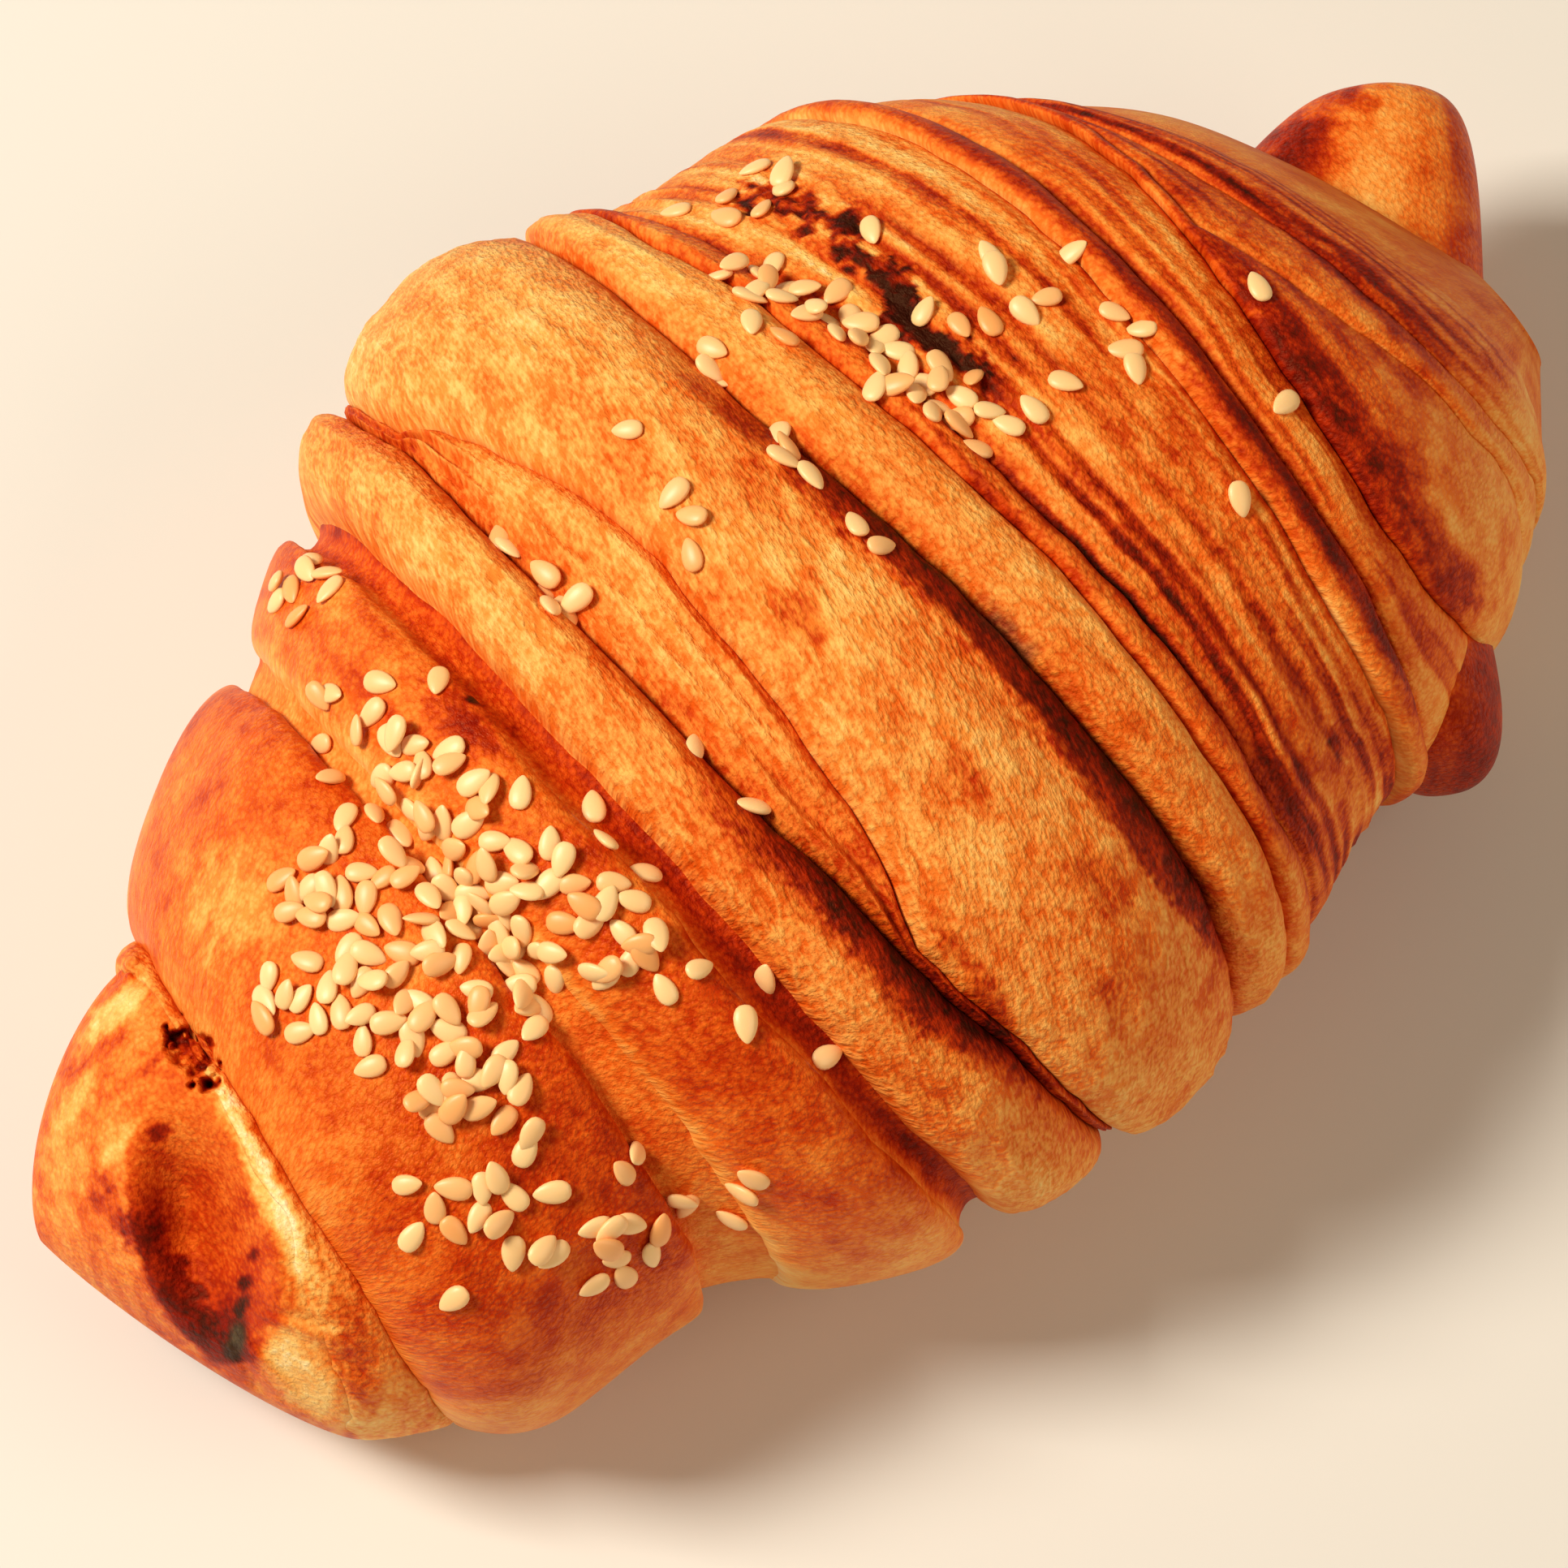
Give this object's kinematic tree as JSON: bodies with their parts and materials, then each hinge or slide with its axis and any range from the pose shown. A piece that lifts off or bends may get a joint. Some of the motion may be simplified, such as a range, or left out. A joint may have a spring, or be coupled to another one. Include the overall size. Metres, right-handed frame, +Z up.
{
  "type": "ham and cheese croissant",
  "caption": "Fat soft-dough croissant wound from overlapping layers, topped with sesame seeds, with an open nub at one end and a domed cap at the other.",
  "frame": {"origin": "middle of the underside of the box that holds the croissant", "axes": "+X along the roll from the open nub to the domed cap, +Y to the far side, +Z up"},
  "size_m": [0.1658, 0.1036, 0.06],
  "materials": {
    "crust": "egg-washed baked dough, satin, golden to red-brown",
    "sesame": "hulled sesame seed, pale cream, satin"
  },
  "bodies": {
    "root": {"croissant": "crust"}
  },
  "joints": []
}
